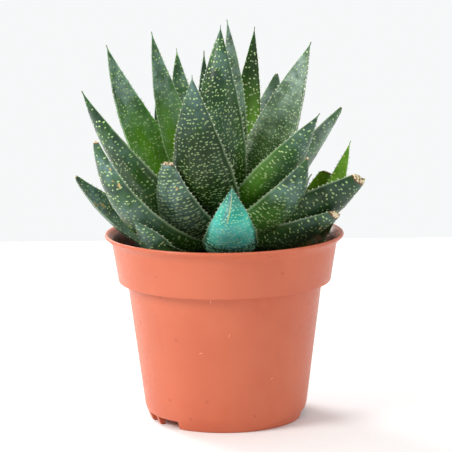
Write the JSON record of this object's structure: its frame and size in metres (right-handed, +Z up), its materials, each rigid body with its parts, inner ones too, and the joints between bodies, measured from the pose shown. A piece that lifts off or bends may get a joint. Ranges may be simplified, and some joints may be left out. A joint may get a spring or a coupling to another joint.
{
  "type": "potted aloe",
  "caption": "Spotted succulent rosette with tapering fleshy leaves and a small offset, in soil in a round tapered plastic nursery pot with a wide rim band.",
  "frame": {"origin": "middle of the pot's underside, on the surface it stands on", "axes": "+Z up, -Y towards the front of the plant, +X to its right seen from the front"},
  "size_m": [0.1442, 0.123, 0.1996],
  "materials": {
    "pot_plastic": "satin injection-moulded plastic in terracotta orange, with fine scratches",
    "soil": "damp dark peat and bark potting soil with bits of straw",
    "stem_flesh": "matt fibrous stem of the rosette",
    "leaf_green": "waxy dark green leaf skin with pale raised spots and a blue-grey bloom",
    "leaf_bright": "waxy leaf skin, yellow-green and lit from behind towards the foot, with pale streaks",
    "leaf_pale": "waxy grey-green leaf skin with tan scars and a dried end",
    "leaf_teal": "waxy blue-green leaf skin with pale spots and a pale keel line",
    "leaf_lime": "thin lime-green young leaf skin",
    "leaf_olive": "olive leaf skin browning at its torn end"
  },
  "bodies": {
    "root": {"pot": "pot_plastic", "soil": "soil", "stem": "stem_flesh", "leaf_heart_1": "leaf_green", "leaf_heart_2": "leaf_green", "leaf_inner_back": "leaf_green", "leaf_inner_front": "leaf_green", "leaf_inner_right": "leaf_bright", "leaf_inner_left": "leaf_bright", "leaf_inner_thin": "leaf_green", "leaf_tall_left": "leaf_bright", "leaf_tall_right": "leaf_green", "leaf_back_short": "leaf_green", "leaf_wide_left": "leaf_bright", "leaf_broad_front": "leaf_green", "leaf_mid_left": "leaf_green", "leaf_mid_right": "leaf_green", "leaf_mid_right_back": "leaf_green", "leaf_back_sliver": "leaf_green", "leaf_back_1": "leaf_green", "leaf_back_2": "leaf_green", "leaf_back_3": "leaf_green", "leaf_broad_right": "leaf_green", "leaf_low_front_left": "leaf_pale", "leaf_outer_left": "leaf_green", "leaf_teal": "leaf_teal", "leaf_low_right": "leaf_green", "leaf_back_4": "leaf_green", "leaf_back_5": "leaf_green", "leaf_low_right_front": "leaf_green", "leaf_low_left": "leaf_green", "leaf_back_6": "leaf_green", "leaf_back_7": "leaf_green", "leaf_back_8": "leaf_green", "leaf_small_left": "leaf_green", "leaf_small_front": "leaf_green", "pup_leaf_1": "leaf_lime", "pup_leaf_2": "leaf_olive", "pup_leaf_3": "leaf_lime"}
  },
  "joints": []
}
